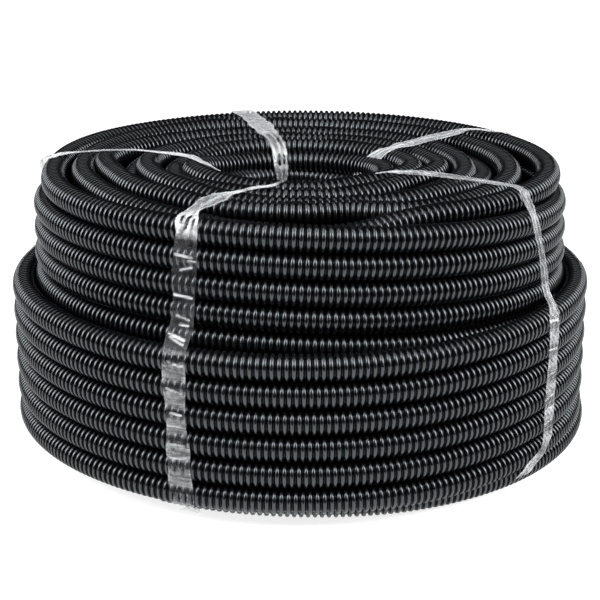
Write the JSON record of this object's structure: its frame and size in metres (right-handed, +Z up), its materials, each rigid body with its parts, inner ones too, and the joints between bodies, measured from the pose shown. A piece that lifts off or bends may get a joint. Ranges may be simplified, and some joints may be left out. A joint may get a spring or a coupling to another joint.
{
  "type": "corrugated conduit",
  "caption": "Coil of black corrugated plastic conduit lying flat, wound in nested turns round an open bore and held by bands of clear film.",
  "frame": {"origin": "centre of the coil's underside, on the floor that it lies on", "axes": "+Z up along the coil's axis, +Y away from the side that faces the viewer, +X to the viewer's right"},
  "size_m": [0.468, 0.468, 0.2164],
  "materials": {
    "conduit_plastic": "satin-gloss black moulded polyethylene, with a few scuffed crests",
    "clear_film": "clear glossy stretch film, wrinkled and whitened at its folds"
  },
  "bodies": {
    "root": {"conduit_coil": "conduit_plastic", "band_front_left": "clear_film", "band_front_right": "clear_film", "band_back_right": "clear_film", "band_back_left": "clear_film", "band_left": "clear_film"}
  },
  "joints": []
}
